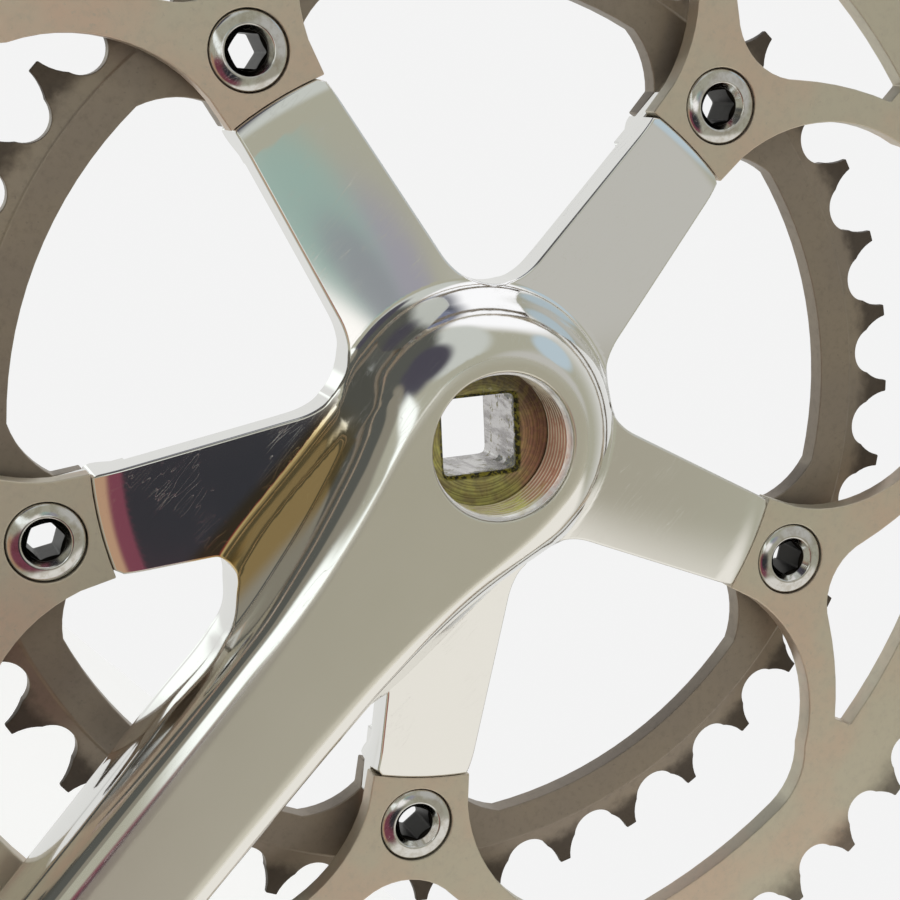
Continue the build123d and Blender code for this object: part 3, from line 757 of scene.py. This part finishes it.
# painted shade: the thread's colour is darkened towards one side of the bore
shade = greasy.step(side_y - side_x * 0.3 + blotch * 3.0, 6.0, 11.0)
oil_and_painted_light = greasy.mix(greasy.step(blotch, 0.35, 0.65), (0.52, 0.50, 0.16), (0.36, 0.30, 0.13))
oil_and_painted_light = greasy.mix(rust, oil_and_painted_light, (0.50, 0.24, 0.16))
oil_and_painted_light = greasy.mix(shade * 0.8, oil_and_painted_light, (0.10, 0.07, 0.05))
rings = {"W": from_axis, "Scale": 3.2, "Detail": 2.0}
rings = greasy.node("ShaderNodeTexNoise", {"noise_dimensions": "1D"}, rings, "Fac")
rings = greasy.step(rings, 0.42, 0.58) * greasy.step(depth, -16.0, -15.6)
root = greasy.step(from_axis, 10.72, 10.95) * greasy.step(depth, -24.1, -23.8)
# painted highlight: pale lines on the thread crests in the lower part of the bore
painted_crest_highlight = greasy.step(from_axis, 10.66, 10.5) * greasy.step(depth, -16.0, -16.4) * greasy.step(blotch, 0.3, 0.5)
oil_and_painted_light = greasy.mix(painted_crest_highlight * 0.7, oil_and_painted_light, (0.92, 0.84, 0.66))
oil_and_painted_light = greasy.mix(root * 0.85 + rings * 0.55, oil_and_painted_light, (0.07, 0.045, 0.025))
broached = greasy.step(greasy.noise(1.6, 5.0, (1, 5, 1)), 0.42, 0.6)
metal = greasy.mix(broached, (0.62, 0.60, 0.60), (0.34, 0.32, 0.32))
corners = greasy.step(from_axis + blotch * 1.6 - (depth + 15.0) * 0.12, 7.9, 8.6)
lip = greasy.step(depth, -13.2, -15.2)
black = greasy.step(blotch * 0.6 + fine_blotch * 0.5 + corners * 0.5 + lip * 0.22, 0.60, 0.68)
grease = greasy.mix(greasy.step(fine_blotch, 0.45, 0.6), (0.03, 0.028, 0.015), (0.22, 0.19, 0.03))
walls = greasy.mix(black, metal, grease)
colour = greasy.mix(in_square, oil_and_painted_light, walls)
greasy.set("Base Color", greasy.mix(clean, colour, (0.86, 0.86, 0.86)))
greasy.set("Roughness", 0.12 + blotch * 0.18 - clean * 0.12)
greasy.set("Metallic", 0.85 + clean * 0.15 - black * 0.6)
greasy.set("Normal", greasy.bump(fine_blotch + greasy.noise(0.3, 3.0) * 0.4 + rings * 0.3, 0.6, 0.00008))
forging.data.materials.append(greasy.material)
forging.data.polygons.foreach_set("material_index", in_bore)

# ------------------------------------------------------------------------------
# The chainrings: two rings stamped from aluminium plate, machined flat and
# anodised, with teeth round their rims. Their shapes are the CAD solids, with
# every edge broken by a fine bevel.
# ------------------------------------------------------------------------------
def broken_edges(node_name, new_name, width, sharp=28.0):
    """A copy of a CAD solid, its triangles merged into faces, with bevelled edges."""
    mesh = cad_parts[node_name].data.copy()
    mesh.name = new_name
    work = bmesh.new()
    work.from_mesh(mesh)
    bmesh.ops.remove_doubles(work, verts=work.verts[:], dist=2e-6)
    bmesh.ops.dissolve_limit(work, angle_limit=np.radians(0.6), verts=work.verts[:], edges=work.edges[:])
    work.to_mesh(mesh)
    work.free()
    mesh.materials.clear()
    mesh.polygons.foreach_set("use_smooth", np.ones(len(mesh.polygons), bool))
    if mesh.has_custom_normals:
        mesh.attributes.remove(mesh.attributes["custom_normal"])
    piece = bpy.data.objects.new(new_name, mesh)
    bpy.context.scene.collection.objects.link(piece)
    bevel = piece.modifiers.new("broken_edges", "BEVEL")
    bevel.width, bevel.segments, bevel.angle_limit = width, 2, np.radians(sharp)
    bevel.miter_outer = "MITER_ARC"
    weighted = piece.modifiers.new("flat_faces", "WEIGHTED_NORMAL")
    weighted.keep_sharp = False
    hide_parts(node_name)
    return piece


def ring_finish(name, colour, stained, copper, dark_grease):
    """Satin anodised plate: cloudy stains, specks, turning marks, and grease in the teeth."""
    ring = Finish(name, metallic=0.85)
    clouds = ring.noise(22, 4.0)
    mottle = ring.noise(1.4, 6.0, rough=0.7)
    specks = ring.step(ring.noise(0.8, 3.0), 0.66, 0.72)
    in_plane = ring.node("ShaderNodeVectorMath", {"operation": "MULTIPLY"}, {0: ring.here, 1: (1.0, 0.0, 1.0)})
    length = ring.node("ShaderNodeVectorMath", {"operation": "LENGTH"}, {0: in_plane}, "Value") * 1000.0
    turning = {"W": length, "Scale": 9.0, "Detail": 2.0}
    turning = ring.node("ShaderNodeTexNoise", {"noise_dimensions": "1D"}, turning, "Fac")
    marks = ring.scratches(0.9, 20, 1.0) + ring.scratches(-0.4, 24, 0.8)
    low_left = {0: ring.here, 1: (-900.0, 0.0, -400.0)}
    low_left = ring.node("ShaderNodeVectorMath", {"operation": "DOT_PRODUCT"}, low_left, "Value")
    coppery = ring.step(clouds, 0.4, 0.65) * 0.6 + ring.step(low_left + clouds * 20.0, 60.0, 90.0) * 0.4
    base = ring.mix(coppery, colour, copper)
    base = ring.mix(ring.step(mottle, 0.45, 0.75) * 0.5 + specks * 0.5, base, stained)
    grease_r, grease_full = dark_grease
    grime = ring.step(length + ring.noise(2.5, 4.0) * 4.0, grease_r, grease_full)
    ring.set("Base Color", ring.mix(grime * 0.75, base, (0.05, 0.04, 0.035)))
    ring.set("Roughness", 0.30 + mottle * 0.14 + turning * 0.06 - marks * 0.08 + grime * 0.15)
    ring.set("Normal", ring.bump(turning * 0.6 + mottle * 0.3 + specks * -0.4 + marks * -0.4, 0.3, 0.00003))
    return ring


outer_ring = broken_edges("outer_chainring", "outer_ring", 0.00022)
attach(outer_ring, "root")
outer_look = ring_finish(
    "champagne_ring", (0.56, 0.52, 0.42), (0.47, 0.43, 0.36), (0.64, 0.47, 0.37), (104.0, 111.0)
)
outer_ring.data.materials.append(outer_look.material)

inner_ring = broken_edges("inner_chainring", "inner_ring", 0.00020)
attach(inner_ring, "root")
inner_look = ring_finish(
    "grey_ring", (0.27, 0.23, 0.19), (0.20, 0.17, 0.14), (0.31, 0.26, 0.20), (77.0, 80.5)
)
inner_ring.data.materials.append(inner_look.material)

# ------------------------------------------------------------------------------
# The chainring bolts: five turned steel bolts, chromed, with a flared head, a
# dished centre and a hexagon hole right through, which the key turns.
# ------------------------------------------------------------------------------
chrome = Finish("chromed_bolt", base_color=(0.72, 0.72, 0.72), metallic=1.0)
chrome_cloud = chrome.noise(1.2, 4.0)
chrome_marks = chrome.scratches(0.8, 12, 0.5) + chrome.scratches(-0.9, 12, 0.6)
# painted shade: the hexagon hole, the lower part of the dished centre and the hidden shank are painted near
# black and duller
painted_hole_shade = chrome.node("ShaderNodeAttribute", {"attribute_name": "inside"}, out="Fac")
chrome.set("Roughness", 0.06 + chrome_cloud * 0.10 + chrome_marks * 0.1 + painted_hole_shade * 0.3)
plate = chrome.mix(chrome.step(chrome_cloud, 0.4, 0.7), (0.70, 0.70, 0.70), (0.58, 0.56, 0.53))
chrome.set("Base Color", chrome.mix(painted_hole_shade, plate, (0.02, 0.018, 0.016)))
chrome.set("Normal", chrome.bump(chrome_cloud * 0.5 - chrome_marks, 0.2, 0.00002))

HEX_TURNS = np.radians([10, 22, 5, 40, 0])
bolt_turns = np.linspace(0, 2 * np.pi, 97)[:-1]
bowl_h = np.arange(6.86, 5.2, -0.11)
head_rows = [
    # radius, height: the flared head, from its underside to the rim of its dished centre
    (3.95, 4.74), (5.6, 4.74), (5.8, 4.85), (5.85, 5.1), (5.85, 6.0), (5.83, 6.2), (5.75, 6.38), (5.58, 6.52),
    (5.3, 6.64), (4.9, 6.77), (4.5, 6.87), (4.15, 6.94), (3.95, 6.97), (3.82, 6.96), (3.72, 6.92),
]
stem_h = [4.6, 3.0, 1.0, -1.0, -1.6]
for number in range(1, 6):
    low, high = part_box(f"chainring_bolt_{number}")
    centre = (500 * (low[0] + high[0]), 500 * (low[2] + high[2]))
    hexagon = 2.5 / np.cos(np.mod(bolt_turns + HEX_TURNS[number - 1], np.pi / 3) - np.pi / 6)
    hexagon = np.minimum(hexagon, 2.83)
    radius = [np.full_like(bolt_turns, r) for r, h in head_rows]
    radius += [np.maximum(3.66 - (6.86 - h) * 0.74, hexagon) for h in bowl_h]
    radius += [hexagon] * len(stem_h) + [hexagon + 0.25]
    radius += [np.full_like(bolt_turns, r) for r in (3.6, 3.88, 3.9)]
    heights = [h for r, h in head_rows] + list(bowl_h) + stem_h + [-1.78, -1.78, -1.6, 2.0]
    grid_h = np.repeat(np.array(heights)[:, None], len(bolt_turns), 1)
    bolt_points, bolt_normals, bolt_quads, _ = turned_ring(np.stack(radius), grid_h, centre)
    past_head = np.arange(len(grid_h))[:, None] >= len(head_rows)
    # inside marks where the painted shade goes: the hexagon hole, the lower dished centre and the shank
    inside = np.repeat((grid_h[:, :1] < 5.9) & past_head, len(bolt_turns), 1)
    bolt = new_piece(
        f"chromed_bolt_{number}", bolt_points, bolt_quads[:, ::-1], None, -bolt_normals,
        {"inside": inside.ravel()},
    )
    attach(bolt, f"bolt_{number}")
    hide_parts(f"chainring_bolt_{number}")
    bolt.data.materials.append(chrome.material)

# ------------------------------------------------------------------------------
# The nuts: a plated steel sleeve behind each bolt, with a wide head and a slot.
# ------------------------------------------------------------------------------
plated = Finish("plated_nut", base_color=(0.55, 0.54, 0.5), metallic=1.0)
plated_cloud = plated.noise(1.5, 5.0)
plated.set("Roughness", 0.22 + plated_cloud * 0.2)
dull = plated.step(plated_cloud, 0.4, 0.7)
plated.set("Base Color", plated.mix(dull, (0.58, 0.57, 0.54), (0.40, 0.37, 0.33)))
plated.set("Normal", plated.bump(plated_cloud, 0.3, 0.00003))
for number in range(1, 6):
    nut = broken_edges(f"chainring_nut_{number}", f"slotted_nut_{number}", 0.00018)
    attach(nut, f"nut_{number}")
    nut.data.materials.append(plated.material)

# ------------------------------------------------------------------------------
# The chain catch pin: a small alloy pin pressed into the outer ring behind the
# crank arm, which keeps a dropped chain from wedging there.
# ------------------------------------------------------------------------------
pin = broken_edges("chain_catch_pin", "catch_pin", 0.00025)
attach(pin, "root")
pin_look = Finish("bright_pin", base_color=(0.7, 0.7, 0.68), metallic=1.0)
pin_cloud = pin_look.noise(1.2, 4.0)
pin_look.set("Roughness", 0.2 + pin_cloud * 0.2)
pin_dull = pin_look.step(pin_cloud, 0.4, 0.7)
pin_look.set("Base Color", pin_look.mix(pin_dull, (0.7, 0.7, 0.68), (0.5, 0.49, 0.46)))
pin.data.materials.append(pin_look.material)

size = {"cad": cad_box, "visual": [list(corner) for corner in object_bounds()]}
